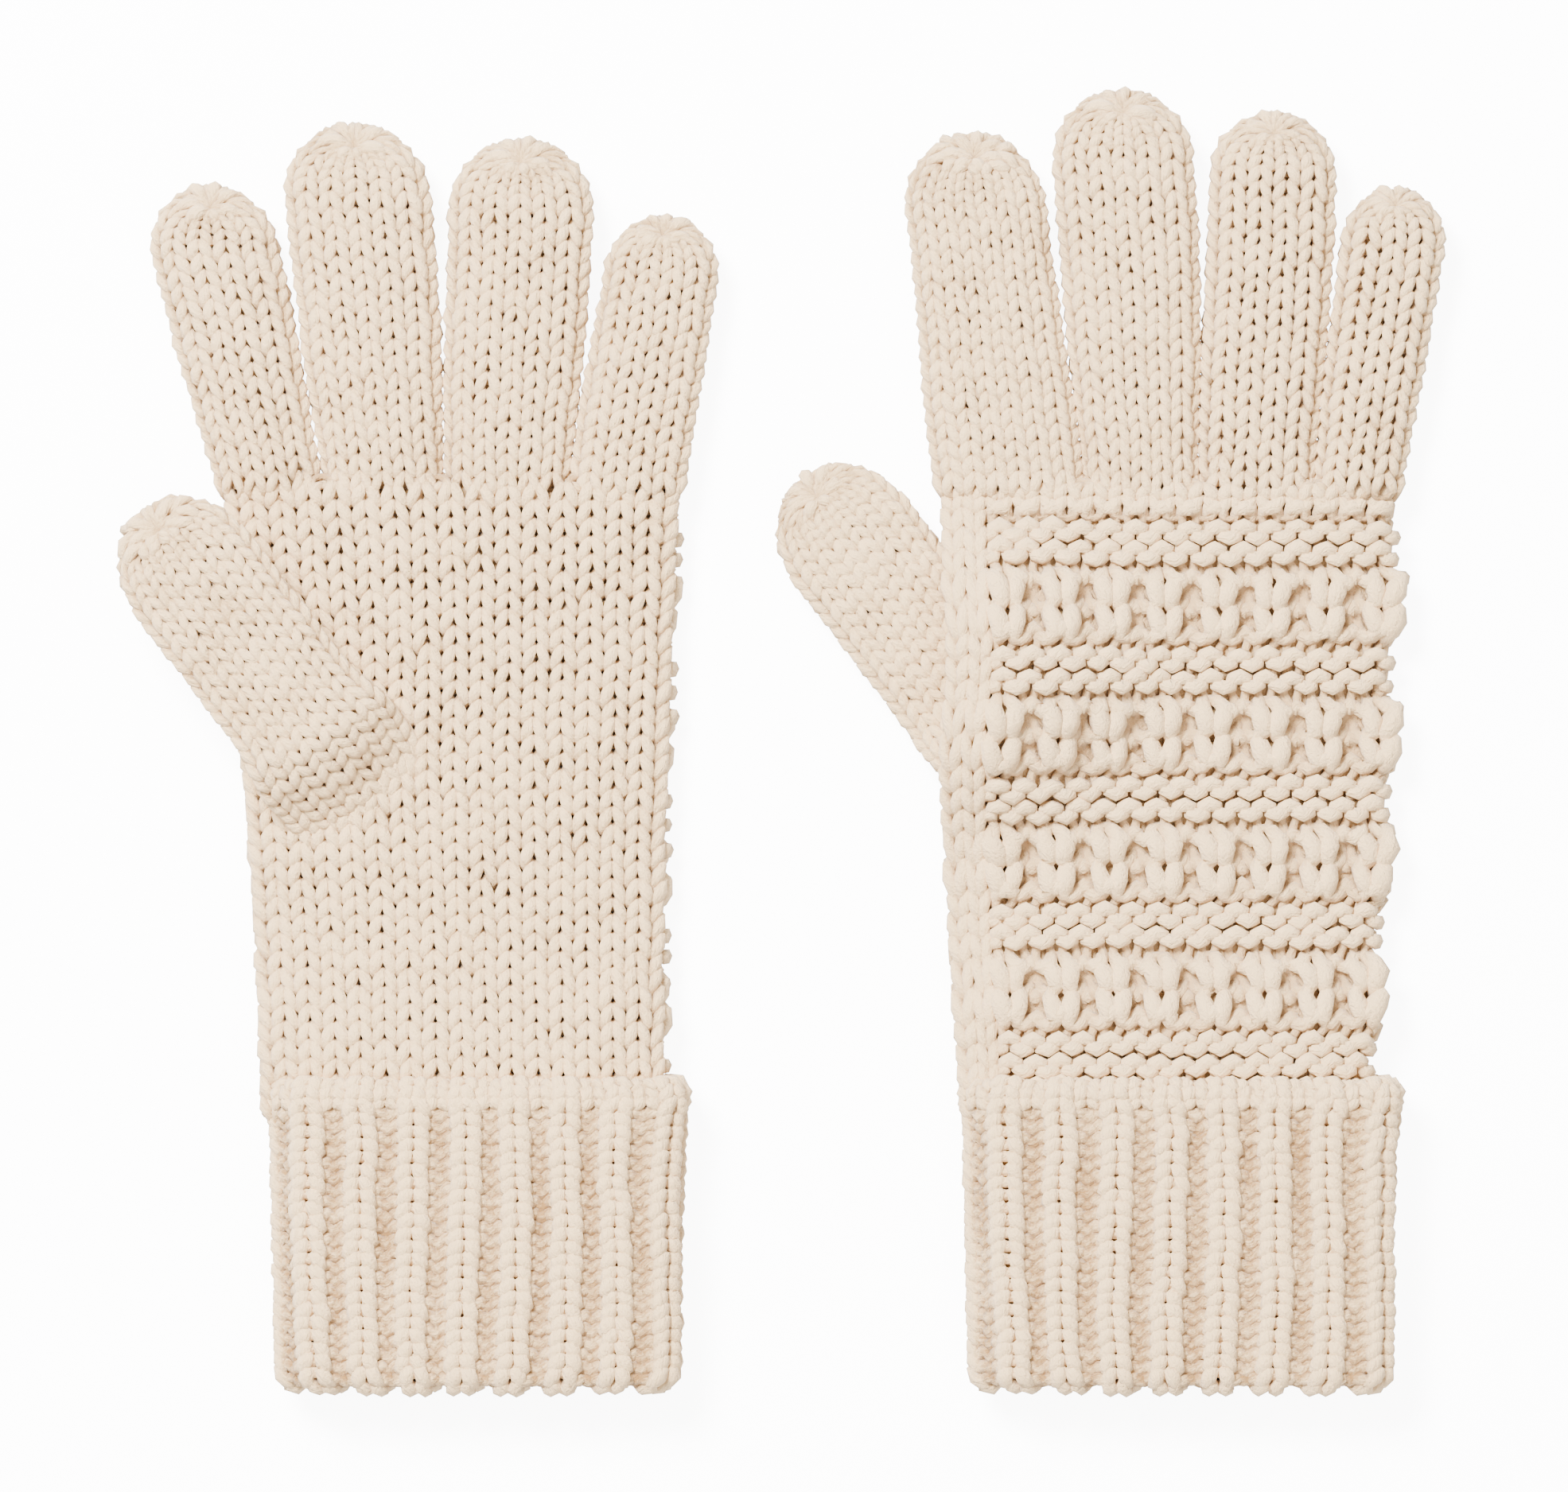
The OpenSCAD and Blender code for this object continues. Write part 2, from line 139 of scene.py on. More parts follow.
class Yarn:
    """One yarn's loop: radius, depth of the loop through the fabric, reach of its head in
    rows, sideways sway of its legs and how much thicker it is where it shows."""

    def __init__(self, radius, depth, head, sway, swell):
        self.radius, self.depth, self.head = radius, depth, head
        self.sway, self.swell = sway, swell

    @property
    def proud(self):
        """How far the yarn stands above its sheet."""
        return self.radius * (1 + self.swell) + self.depth


PALM_YARN = Yarn(1.09, 1.35, 0.96, 1.53, swell=0.32)
BACK_YARN = Yarn(1.2, 1.0, 0.86, 1.5, swell=0.26)
FINGER_YARN = Yarn(1.05, 0.98, 0.94, 1.45, swell=0.27)
RIB_YARN = Yarn(1.6, 0.75, 0.85, 1.05, swell=0.2)
BAND_YARN = Yarn(1.4, 0.7, 0.85, 1.4, swell=0.2)

# The back's stitches: 1 for knit or -1 for purl, lift, thickness, head and sway
PLAIN = (1, 0.0, 1.0, BACK_YARN.head, BACK_YARN.sway)
RIDGE = (-1, 0.45, 1.15, 0.76, 1.15)
PLUMP = (1, 0.9, 1.58, 0.68, 1.25)
HOLLOW = (-1, -1.9, 1.25, 0.4, 0.6)


# ---- Small helpers ----

def smooth(t):
    t = np.clip(t, 0.0, 1.0)
    return t * t * (3 - 2 * t)


def ramp(x, start, end):
    """Rises smoothly from 0 at start to 1 at end, whichever of them is higher."""
    return smooth((x - start) / (end - start))


def mix(a, b, t):
    return a + (b - a) * t


def unit(vectors):
    return vectors / np.maximum(np.linalg.norm(vectors, axis=-1, keepdims=True), 1e-9)


def reach_along(points):
    """How far along a line of points each of them is."""
    return np.concatenate([[0.0], np.cumsum(np.linalg.norm(np.diff(points, axis=0), axis=1))])


def spread(x, known, values):
    """np.interp that runs on in a straight line past both ends."""
    y = np.interp(x, known, values)
    first = (values[1] - values[0]) / (known[1] - known[0])
    last = (values[-1] - values[-2]) / (known[-1] - known[-2])
    return y + np.minimum(x - known[0], 0) * first + np.maximum(x - known[-1], 0) * last


def add_object(name, data):
    made = bpy.data.objects.new(name, data)
    bpy.context.scene.collection.objects.link(made)
    return made


def node_points(*nodes):
    """The points of CAD nodes, mm."""
    found = []
    for node in nodes:
        mesh = frame["nodes"][node].data
        co = np.empty(len(mesh.vertices) * 3, np.float32)
        mesh.vertices.foreach_get("co", co)
        found.append(co.reshape(-1, 3).astype(float) / MM)
    return np.concatenate(found)


def node_box(*nodes):
    points = node_points(*nodes)
    return points.min(0), points.max(0)


def joint_place(name):
    """Where a joint is, mm."""
    return np.array(JOINTS[name]["pos_m"], float) / MM


def widths_along(points):
    """Places along Y of a node's rings, with the lowest and highest X of each."""
    stops = np.unique(np.round(points[:, 1], 2))
    stops = stops[np.concatenate([[True], np.diff(stops) > 0.2])]
    low, high = [], []
    for y in stops:
        ring = points[np.abs(points[:, 1] - y) < 0.1, 0]
        low.append(ring.min())
        high.append(ring.max())
    return stops, np.array(low), np.array(high)


# ---- Sheets that the yarn runs in ----

def oval_angles():
    """Cosine and sine of a flattened oval, starting at its +X end."""
    angle = np.linspace(0, 2 * math.pi, COLUMNS * 2, endpoint=False)
    power = 2 / ROUNDNESS
    cosine, sine = np.cos(angle), np.sin(angle)
    return (np.sign(cosine) * np.abs(cosine) ** power, np.sign(sine) * np.abs(sine) ** power)


def even_ring(ring):
    """A closed ring with its points evenly apart, from the same first point."""
    loop = np.concatenate([ring, ring[:1]])
    reach = reach_along(loop)
    places = np.linspace(0, reach[-1], COLUMNS, endpoint=False)
    return np.stack([np.interp(places, reach, loop[:, k]) for k in range(3)], 1)


class Sheet:
    """A closed tube of rings, mm. u goes once around from 0 to 1 and v along it, mm."""

    def __init__(self, rings):
        grid = np.stack([even_ring(ring) for ring in rings])
        grid = np.concatenate([grid, grid[:, :1]], 1)
        across = np.gradient(grid, axis=1)
        across[:, 0] = across[:, -1] = (grid[:, 1] - grid[:, -2]) / 2
        along = np.gradient(grid, axis=0)
        normal = unit(np.cross(along, across))
        if ((grid - grid.mean(1, keepdims=True)) * normal).sum() < 0:
            normal = -normal
        self.grid, self.normal = grid, normal
        steps = np.linalg.norm(np.diff(grid, axis=0), axis=2).mean(1)
        self.reach = np.concatenate([[0.0], np.cumsum(steps)])
        self.length = self.reach[-1]
        self.girth = np.linalg.norm(np.diff(grid, axis=1), axis=2).sum(1)

    def at(self, u, v):
        """Points and outward normals at places u, v."""
        rows, columns = self.grid.shape[:2]
        row = spread(v, self.reach, np.arange(rows))
        column = (u % 1.0) * (columns - 1)
        r = np.clip(np.floor(row).astype(int), 0, rows - 2)
        c = np.clip(np.floor(column).astype(int), 0, columns - 2)
        a, b = (row - r)[..., None], (column - c)[..., None]

        def between(values, a):
            low = values[r, c] * (1 - b) + values[r, c + 1] * b
            high = values[r + 1, c] * (1 - b) + values[r + 1, c + 1] * b
            return low * (1 - a) + high * a

        point = between(self.grid, a)
        return point, unit(between(self.normal, np.clip(a, 0, 1)))

    def girth_at(self, v):
        return np.interp(v, self.reach, self.girth)

    def v_of_y(self, y):
        """The place along the sheet whose ring's middle is at y."""
        return float(np.interp(y, self.grid.mean(1)[:, 1], self.reach))


# ---- Meshes ----

class Fabric:
    """Collects the yarn and backing of one piece."""

    def __init__(self, name):
        self.name = name
        self.random = np.random.default_rng(zlib.crc32(name.encode()))
        self.points, self.yarn, self.level = [], [], []
        self.corners, self.sizes, self.count = [], [], 0

    def add(self, points, yarn, level, faces):
        """faces is a list of integer arrays, one row of corners for each face."""
        self.points.append(points)
        self.yarn.append(yarn)
        self.level.append(level)
        for some in faces:
            if len(some):
                self.corners.append((some + self.count).ravel())
                self.sizes.append(np.full(len(some), some.shape[1]))
        self.count += len(points)

    def tubes(self, centres, normal, height, radii, closed, scale):
        """Yarns along centres (yarns, points, 3), with their sheet's normals, their height
        over it and their radii. scale is the height that counts as level 1."""
        yarns, count = centres.shape[:2]
        if closed:
            ahead, behind = np.roll(centres, -1, 1), np.roll(centres, 1, 1)
        else:
            ahead = np.concatenate([centres[:, 1:], centres[:, -1:]], 1)
            behind = np.concatenate([centres[:, :1], centres[:, :-1]], 1)
        run = unit(ahead - behind)
        up = unit(normal - (normal * run).sum(2, keepdims=True) * run)
        side = np.cross(run, up)
        steps = np.linalg.norm(centres - behind, axis=2)
        along = np.cumsum(steps, 1) + self.random.uniform(0, 400, (yarns, 1))
        angle = 2 * math.pi * np.arange(YARN_SIDES) / YARN_SIDES
        c, s = np.cos(angle), np.sin(angle)
        offset = up[:, :, None] * (c * FLATNESS)[:, None] + side[:, :, None] * s[:, None]
        offset = offset * radii[:, :, None, None]
        points = centres[:, :, None] + offset
        twist = along[..., None] * TWIST + angle
        yarn = np.stack([radii[..., None] * np.cos(twist), radii[..., None] * np.sin(twist),
                         np.broadcast_to(along[..., None], twist.shape)], -1)
        # Height over the sheet as a share of scale; the material paints tan shade where it is low
        level = (height[..., None] + (offset * normal[:, :, None]).sum(3)) / scale
        index = np.arange(yarns * count * YARN_SIDES).reshape(yarns, count, YARN_SIDES)
        beside = np.roll(index, -1, 2)
        if closed:
            first, second = (index, beside), (np.roll(index, -1, 1), np.roll(beside, -1, 1))
        else:
            first, second = (index[:, :-1], beside[:, :-1]), (index[:, 1:], beside[:, 1:])
        faces = [np.stack([first[0], first[1], second[1], second[0]], -1).reshape(-1, 4)]
        if not closed:
            faces += [index[:, 0, ::-1], index[:, -1]]
        self.add(points.reshape(-1, 3), yarn.reshape(-1, 3), level.ravel(), faces)

    def backing(self, sheet, u0, u1, v0, v1, top, thick=0.7):
        """A thin closed skin under the yarn, top mm above the sheet. It is painted all in the tan
        shade of the hollows.
        """
        whole = u1 - u0 > 0.999
        nu = max(8, int((u1 - u0) * sheet.girth.max() / SKIN_FACE))
        nv = max(3, int((v1 - v0) / SKIN_FACE))
        u, v = np.meshgrid(np.linspace(u0, u1, nu, endpoint=not whole),
                           np.linspace(v0, v1, nv))
        point, normal = sheet.at(u, v)
        upper, lower = point + normal * top, point + normal * (top - thick)
        points = np.concatenate([upper.reshape(-1, 3), lower.reshape(-1, 3)])
        index = np.arange(nv * nu).reshape(nv, nu)
        if whole:
            index = np.concatenate([index, index[:, :1]], 1)
        a, b = index[:-1, :-1], index[:-1, 1:]
        c, d = index[1:, 1:], index[1:, :-1]
        under = nv * nu
        quads = [np.stack([a, b, c, d], -1), np.stack([d, c, b, a], -1) + under]
        ends = [(index[0], False), (index[-1], True)]
        if not whole:
            ends += [(index[:, 0], True), (index[:, -1], False)]
        for line, flip in ends:
            p, q = line[:-1], line[1:]
            wall = np.stack([p, p + under, q + under, q], -1)
            quads.append(wall[:, ::-1] if flip else wall)
        quads = np.concatenate([q.reshape(-1, 4) for q in quads])
        across, along = point[0, 1] - point[0, 0], point[1, 0] - point[0, 0]
        if np.cross(across, along) @ normal[0, 0] < 0:
            quads = quads[:, ::-1]
        self.add(points, points * SKIN_GRAIN, np.full(len(points), SKIN_SHADE_LEVEL), [quads])

    def make(self, material):
        mesh = bpy.data.meshes.new(self.name)
        points = np.concatenate(self.points) * MM
        corners, sizes = np.concatenate(self.corners), np.concatenate(self.sizes)
        mesh.vertices.add(len(points))
        mesh.vertices.foreach_set("co", points.astype(np.float32).ravel())
        mesh.loops.add(len(corners))
        mesh.loops.foreach_set("vertex_index", corners.astype(np.int32))
        mesh.polygons.add(len(sizes))
        starts = np.concatenate([[0], np.cumsum(sizes)[:-1]])
        mesh.polygons.foreach_set("loop_start", starts.astype(np.int32))
        mesh.polygons.foreach_set("use_smooth", np.ones(len(sizes), bool))
        mesh.update(calc_edges=True)
        yarn = mesh.attributes.new("yarn", "FLOAT_VECTOR", "POINT")
        yarn.data.foreach_set("vector", np.concatenate(self.yarn).astype(np.float32).ravel())
        # The level from which the material paints shade into the hollows
        level = mesh.attributes.new("level", "FLOAT", "POINT")
        level.data.foreach_set("value", np.concatenate(self.level).astype(np.float32))
        mesh.materials.append(material)
        return add_object(self.name, mesh)


# ---- Knitting ----

def sample(values, row, wale, closed):
    """Values (rows, wales) at row and wale places, where 0.5 is the first's middle."""
    rows, wales = values.shape
    r, w = row - 0.5, wale - 0.5
    r0, w0 = np.floor(r).astype(int), np.floor(w).astype(int)
    a, b = smooth(r - r0), smooth(w - w0)
    ra, rb = np.clip(r0, 0, rows - 1), np.clip(r0 + 1, 0, rows - 1)
    if closed:
        wa, wb = w0 % wales, (w0 + 1) % wales
    else:
        wa, wb = np.clip(w0, 0, wales - 1), np.clip(w0 + 1, 0, wales - 1)
    low = values[ra, wa] * (1 - b) + values[ra, wb] * b
    high = values[rb, wa] * (1 - b) + values[rb, wb] * b
    return low * (1 - a) + high * a


def knit(fabric, sheet, edges, wales, yarn, place=None, face=None, lift=None, plump=None,
         head=None, sway=None, closed=True, wale_width=None):
    """Adds rows of loops between the v places in edges. face is 1 for a knit loop and -1
    for a purl loop, lift is mm above the sheet, plump scales the yarn, and head and sway
    stand in for the yarn's own, each (rows, wales). place turns a wale place and a row
    place into u. Where wales are narrower than wale_width, their yarn gets thinner."""
    rows = len(edges) - 1
    if rows < 1:
        return
    shape = (rows, wales)
    face = np.ones(shape) if face is None else face
    lift = np.zeros(shape) if lift is None else lift
    plump = np.ones(shape) if plump is None else plump
    head = np.full(shape, yarn.head) if head is None else head
    sway = np.full(shape, yarn.sway) if sway is None else sway
    place = place or (lambda wale, row: wale / wales)
    jitter = [np.clip(fabric.random.normal(0, 1, shape), -1.8, 1.8) * size
              for size in UNEVEN]
    count = wales * LOOP_POINTS + (0 if closed else 1)
    t = -math.pi + 2 * math.pi * np.arange(count) / LOOP_POINTS
    t = np.broadcast_to(t, (rows, count))
    number = np.arange(rows)[:, None] + 0.5
    own = np.broadcast_to(number, t.shape)
    steady = t / (2 * math.pi) + 0.5
    wale = steady + sample(sway, own, steady, closed) * np.sin(2 * t) / (2 * math.pi)
    row = number + sample(head, own, steady, closed) * np.cos(t)
    turn = sample(face, own, wale, closed)
    aside, onward, thicker, higher = [sample(j, own, wale, closed) for j in jitter]
    v = spread(row + onward, np.arange(rows + 1), edges)
    u = place(wale + aside, row)
    size = sample(plump, own, wale, closed) * (1 + thicker)
    if wale_width:
        size = size * np.clip(sheet.girth_at(v) / wales / wale_width, NARROWEST, 1.0)
    show = -np.cos(2 * t) * turn
    height = yarn.depth * show * np.clip(size, 0, 1.15) + sample(lift, row, wale, closed)
    height = height + higher
    point, normal = sheet.at(u, v)
    centres = point + normal * height[..., None]
    radii = yarn.radius * size * (1 + yarn.swell * show * size)
    fabric.tubes(centres, normal, height, radii, closed, yarn.proud)


def strand(fabric, points, radii, up, height):
    """Adds one free yarn along a smooth curve through the given points, mm."""
    points = np.asarray(points, float)
    padded = np.concatenate([2 * points[:1] - points[1:2], points,
                             2 * points[-1:] - points[-2:-1]])
    t = np.linspace(0, 1, 6, endpoint=False)[:, None]
    found = []
    for k in range(len(points) - 1):
        a, b, c, d = padded[k:k + 4]
        found.append(0.5 * (2 * b + (c - a) * t + (2 * a - 5 * b + 4 * c - d) * t ** 2
                            + (3 * b - a - 3 * c + d) * t ** 3))
    line = np.concatenate(found + [points[-1:]])
    share = np.linspace(0, 1, len(line))
    radii = np.interp(share, np.linspace(0, 1, len(radii)), radii)
    up = np.broadcast_to(np.asarray(up, float), line.shape)
    fabric.tubes(line[None], up[None], np.full((1, len(line)), height), radii[None], False,
                 LINK_TOP)


# ---- Shapes from the frame ----

class Glove:
    """The places of one glove, mm, read from its CAD nodes."""

    def __init__(self, side):
        self.side = side
        self.palm = 1 if side == "left" else -1
        self.cuff_low, self.cuff_high = node_box(side + "_cuff_turnup", side + "_cuff_edge")
        panels = (side + "_palm_panel", side + "_back_panel")
        points = node_points(*panels)
        self.stops, self.x_low, self.x_high = widths_along(points)
        self.hand_low, self.hand_top = points[:, 1].min(), points[:, 1].max()
        self.hand_half = np.ptp(points[points[:, 1] > self.hand_top - 0.1, 2]) / 2
        back = frame["nodes"][panels[1]].data
        self.back_tree = BVHTree.FromPolygons([v.co / MM for v in back.vertices],
                                              [tuple(p.vertices) for p in back.polygons])

    def hand_extent(self, y):
        """Middle and half width of the hand at y."""
        low = np.interp(y, self.stops, self.x_low)
        high = np.interp(y, self.stops, self.x_high)
        return (low + high) / 2, (high - low) / 2

    def middle_height(self, y):
        """Height of the hand's middle surface across the hand at y, as x places and z."""
        y = float(np.clip(y, self.hand_low + 0.05, self.hand_top - 0.05))
        middle, half = self.hand_extent(y)
        xs, zs = [], []
        for share in np.linspace(-0.9, 0.9, 19):
            x = middle + share * half
            hit = self.back_tree.ray_cast((x, y, -200.0 * self.palm), (0, 0, self.palm))[0]
            if hit is not None:
                half_here = self.hand_half * (1 - abs(share) ** ROUNDNESS) ** (1 / ROUNDNESS)
                xs.append(x)
                zs.append(hit.z + self.palm * half_here)
        return np.array(xs), np.array(zs)

    def hand_sheet(self, inset, bulge=None):
        """The sheet that palm and back share, palm from u 0 to 0.5. bulge gives how far the
        +X side stands out at a depth below the fingers."""
        cosine, sine = oval_angles()
        rings = []
        for y in np.arange(self.hand_low - TUCK, self.hand_top + 0.01, HAND_STEP):
            middle, half = self.hand_extent(y)
            xs, zs = self.middle_height(y)
            grow = bulge(self.hand_top - y) if bulge else 0.0
            low = ramp(self.hand_top - y, *EASE_FADE)
            x = middle + (half + mix(TOP_EASE, HAND_EASE[self.side], low) - inset) * cosine
            x = x + grow * np.clip(cosine, 0, 1) + mix(TOP_SHIFT, HAND_SHIFT[self.side], low)
            z = np.interp(x, xs, zs) + self.palm * (self.hand_half - inset) * sine
            rings.append(np.stack([x, np.full_like(x, y), z], 1))
        return Sheet(rings)

    def palm_height(self, x, y):
        """Height of the palm's outer surface."""
        xs, zs = self.middle_height(y)
        return float(np.interp(x, xs, zs)) + self.palm * self.hand_half


def dome_rings(start, forward, across, half, reach, thick, inset):
    """Rings of a rounded tip beyond start, whose last rings turn towards +Z."""
    cosine, sine = oval_angles()
    up = np.array([0.0, 0.0, 1.0])
    rings = []
    for angle in np.linspace(0, math.radians(86), 22)[1:]:
        c, s = math.cos(angle), math.sin(angle)
        tilt = TIP_TILT * (angle / (math.pi / 2)) ** 1.5
        y, z = np.full_like(sine, s), sine * c ** 0.83
        y, z = y * math.cos(tilt) - z * math.sin(tilt), y * math.sin(tilt) + z * math.cos(tilt)
        x = cosine * c
        rings.append(start + np.outer(x * (half - inset), across)
                     + np.outer(y * (reach - inset * 0.4), forward)
                     + np.outer(z * (thick - inset), up))
    return rings


def finger_sheet(glove, finger, inset):
    """A finger's sheet, straight along its CAD walls and closed by a dome."""
    name = f"{glove.side}_{finger}"
    stops, low, high = widths_along(node_points(name + "_base", name + "_end"))
    box = node_box(name + "_base")
    tip = node_box(name + "_gather")[1][1]
    middle_z, thick = (box[0][2] + box[1][2]) / 2, (box[1][2] - box[0][2]) / 2
    straight = widths_along(node_points(name + "_end"))[0][2]
    ease = FINGER_EASE[finger]
    cosine, sine = oval_angles()

    def shift(y):
        return TIP_SHIFT[glove.side] * ramp(y - glove.hand_top, 0, SHIFT_OVER)

    rings = []
    for y in np.append(np.arange(glove.hand_top - 2.0, straight - 0.3, RING_STEP), straight):
        x0, x1 = np.interp(y, stops, low), np.interp(y, stops, high)
        root = ROOT_EASE * ramp(y - glove.hand_top, *ROOT_FADE)
        x = (x0 + x1) / 2 + ((x1 - x0) / 2 + ease + root - inset) * cosine + shift(y)
        rings.append(np.stack([x, np.full_like(x, y), middle_z + (thick - inset) * sine], 1))
    run = (low + high) / 2
    lean = (np.interp(straight, stops, run) - np.interp(straight - 10, stops, run)) / 10
    forward = np.array([lean * TIP_LEAN, 1.0, 0.0])
    start = np.array([np.interp(straight, stops, run) + shift(straight), straight, middle_z])
    half = (np.interp(straight, stops, high) - np.interp(straight, stops, low)) / 2
    rings += dome_rings(start, forward, np.array([1.0, 0, 0]), half + ease, tip - straight,
                        thick, inset)
    return Sheet(rings)


class Thumb:
    """Root, direction and sizes of one thumb, mm, read from its joints and CAD nodes."""

    def __init__(self, glove):
        name = glove.side + "_thumb"
        across = np.array(JOINTS[name + "_swing"]["axis"], float) * glove.palm
        self.across = across / np.linalg.norm(across)
        self.forward = np.array([-self.across[1], self.across[0], 0.0])
        self.swing, self.bend = joint_place(name + "_swing"), joint_place(name + "_bend")
        self.root = self.swing * [1, 1, 0]
        end, tip = node_points(name + "_end"), node_points(name + "_gather")
        self.half = np.abs((end - self.root) @ self.across).max()
        self.reach = ((tip - self.root) @ self.forward).max()
        self.low, self.high = end[:, 2].min(), end[:, 2].max()
        self.bend_reach = (self.bend - self.root) @ self.forward


def thumb_line(thumb, stops):
    """Middles and headings at the stops: the thumb leaves along the hand and turns out."""
    turn = math.atan2(-thumb.forward[0], thumb.forward[1])
    heading = turn * ramp(stops, -28, -6)
    step = np.stack([-np.sin(heading), np.cos(heading), np.zeros_like(heading)], 1)
    line = np.zeros_like(step)
    line[1:] = np.cumsum((step[1:] + step[:-1]) / 2 * np.diff(stops)[:, None], 0)
    zero = np.array([np.interp(0.0, stops, line[:, k]) for k in range(3)])
    line += thumb.root - zero
    return line, heading


def thumb_sheet(glove, thumb, inset):
    """The thumb's sheet rises out of the palm. s is the place along it from the root, mm,
    and each ramp gives the places between which something changes."""
    straight = thumb.reach - DOME_SHARE * 2 * thumb.half
    stops = np.arange(THUMB_START, straight + 0.01, RING_STEP)
    stops[-1] = straight
    line, heading = thumb_line(thumb, stops)
    face = glove.palm_height(thumb.root[0], thumb.root[1])
    near, far = (thumb.low, thumb.high)[::glove.palm]
    cosine, sine = oval_angles()
    rings = []
    for s, centre, head in zip(stops, line, heading):
        side = np.array([math.cos(head), math.sin(head), 0.0])
        floor = glove.palm_height(centre[0], centre[1])
        floor = mix(floor, face, ramp(s, -6, 4))
        outer = mix(floor - glove.palm * 1.0, far, ramp(s, THUMB_START, 6))
        inner = mix(floor - glove.palm * 8.0, near, ramp(s, -4, 8))
        flare = THUMB_FLARE[glove.side] * ramp(s, 14, 0)
        wide = thumb.half + THUMB_EASE + flare - 2.0 * ramp(s, -8, -16)
        flatter = 1 + 1.6 * ramp(s, 8, -10)
        bell = np.sign(sine) * np.abs(sine) ** flatter
        z = (outer + inner) / 2 + (abs(outer - inner) / 2 - inset) * bell
        rings.append(centre + np.outer((wide - inset) * cosine, side)
                     + np.outer(z, [0, 0, 1.0]) - np.array([0, 0, centre[2]]))
    middle, thick = (thumb.low + thumb.high) / 2, (thumb.high - thumb.low) / 2
    start = np.array([line[-1][0], line[-1][1], middle])
    rings += dome_rings(start, thumb.forward, thumb.across, thumb.half,
                        thumb.reach - straight, thick, inset)
    return Sheet(rings)


# ---- Pieces ----

def finish_piece(fabric, material, nodes, bodies, start=None, end=None):
    """Makes the piece, which stands for its nodes and rides on its body; a piece with two bodies
    is left where it is. start and end are not used."""
    made = fabric.make(MATERIALS[material])
    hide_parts(*nodes)
    if len(bodies) == 1:
        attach(made, bodies[0])
    else:
        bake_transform(made)


def texture_plan():
    """Rows of the back from the finger bases down: height, then what it is."""
    plan = [(2.6, "plain")] * 2
    for _ in range(4):
        plan += [(RIDGE_ROW, "ridge")] * 3 + [(PLUMP_ROW, "plump")] * 2
    return plan + [(RIDGE_ROW, "ridge")] * 4


def side_bulge(depth):
    """How far the bands of plump stitches push the side out and the ridges draw it in, at
    depth below the fingers."""
    row, share = 0.0, 0.0
    for height, kind in texture_plan():
        if kind == "plump":
            low = row + height
            inside = ramp(depth, row - 1.5, row + 1.5) * ramp(depth, low + 1.5, low - 1.5)
            share = max(share, inside)
        row += height
    return BAND_BULGE * share - RIDGE_INSET


def cuff_line(glove):
    """Two points by the wrist joint, 2 mm below and 16 mm above it."""
    wrist = joint_place(glove.side + "_wrist_bend")
    return wrist + [0, -2, 0], wrist + [0, 16, 0]


def finish_hand(glove, fabric, material, node):
    """Makes a piece of the hand from its node; it stays where it is."""
    finish_piece(fabric, material, [f"{glove.side}_{node}"],
                 [glove.side + "_cuff", glove.side + "_hand"], *cuff_line(glove))


def build_palm(glove, sheet):
    fabric = Fabric(glove.side + "_palm_knit")
    rows = int(round(sheet.length / PALM_ROW))
    edges = np.linspace(0, sheet.length, rows + 1)
    knit(fabric, sheet, edges, PALM_WALES, PALM_YARN, closed=False,
         place=lambda wale, row: 0.5 * wale / PALM_WALES)
    fabric.backing(sheet, 0.0, 0.5, 0.5, sheet.length - 0.5, SKIN_TOP["hand"])
    finish_hand(glove, fabric, "palm_knit", "palm_panel")


def build_back(glove, sheet):
    fabric = Fabric(glove.side + "_back_knit")
    plan = texture_plan()[::-1]
    heights = np.array([height for height, _ in plan])
    edges = sheet.length - heights.sum() + np.concatenate([[0.0], np.cumsum(heights)])
    first = int(np.argmax(edges[:-1] > -1.0))
    edges, plan = edges[first:], plan[first:]
    wales = BORDER_WALES + TEXTURE_WALES
    stitches = np.empty((len(plan), wales, len(PLAIN)))
    stitches[:] = PLAIN
    share = np.full((len(plan), 1), 0.5)
    for r, (_, kind) in enumerate(plan):
        if kind == "ridge":
            stitches[r, BORDER_WALES:] = RIDGE
        if kind == "plump":
            stitches[r, BORDER_WALES::2] = PLUMP
            stitches[r, BORDER_WALES + 1::2] = HOLLOW
            share[r] = PLUMP_SHARE
    face, lift, plump, head, sway = np.moveaxis(stitches, 2, 0)

    def place(wale, row):
        part = sample(share, row, np.full_like(row, 0.5), False)
        within = np.maximum(wale - BORDER_WALES, 0)
        pair, rest = np.floor(within / 2), within % 2
        spot = np.where(rest < 1, part * rest, part + (1 - part) * (rest - 1))
        total = TEXTURE_WALES // 2 + part
        texture = BORDER_SHARE + (1 - BORDER_SHARE) * (pair + spot) / total
        texture = np.minimum(texture, 1.0 + 0.002 * (wale - wales))
        plain = BORDER_SHARE * wale / BORDER_WALES
        return 0.5 + 0.5 * np.where(wale < BORDER_WALES, plain, texture)

    knit(fabric, sheet, edges, wales, BACK_YARN, place=place, face=face, lift=lift,
         plump=plump, head=head, sway=sway, closed=False)
    fabric.backing(sheet, 0.5, 1.0, 0.5, sheet.length - 0.5, SKIN_TOP["hand"])
    finish_hand(glove, fabric, "textured_knit", "back_panel")


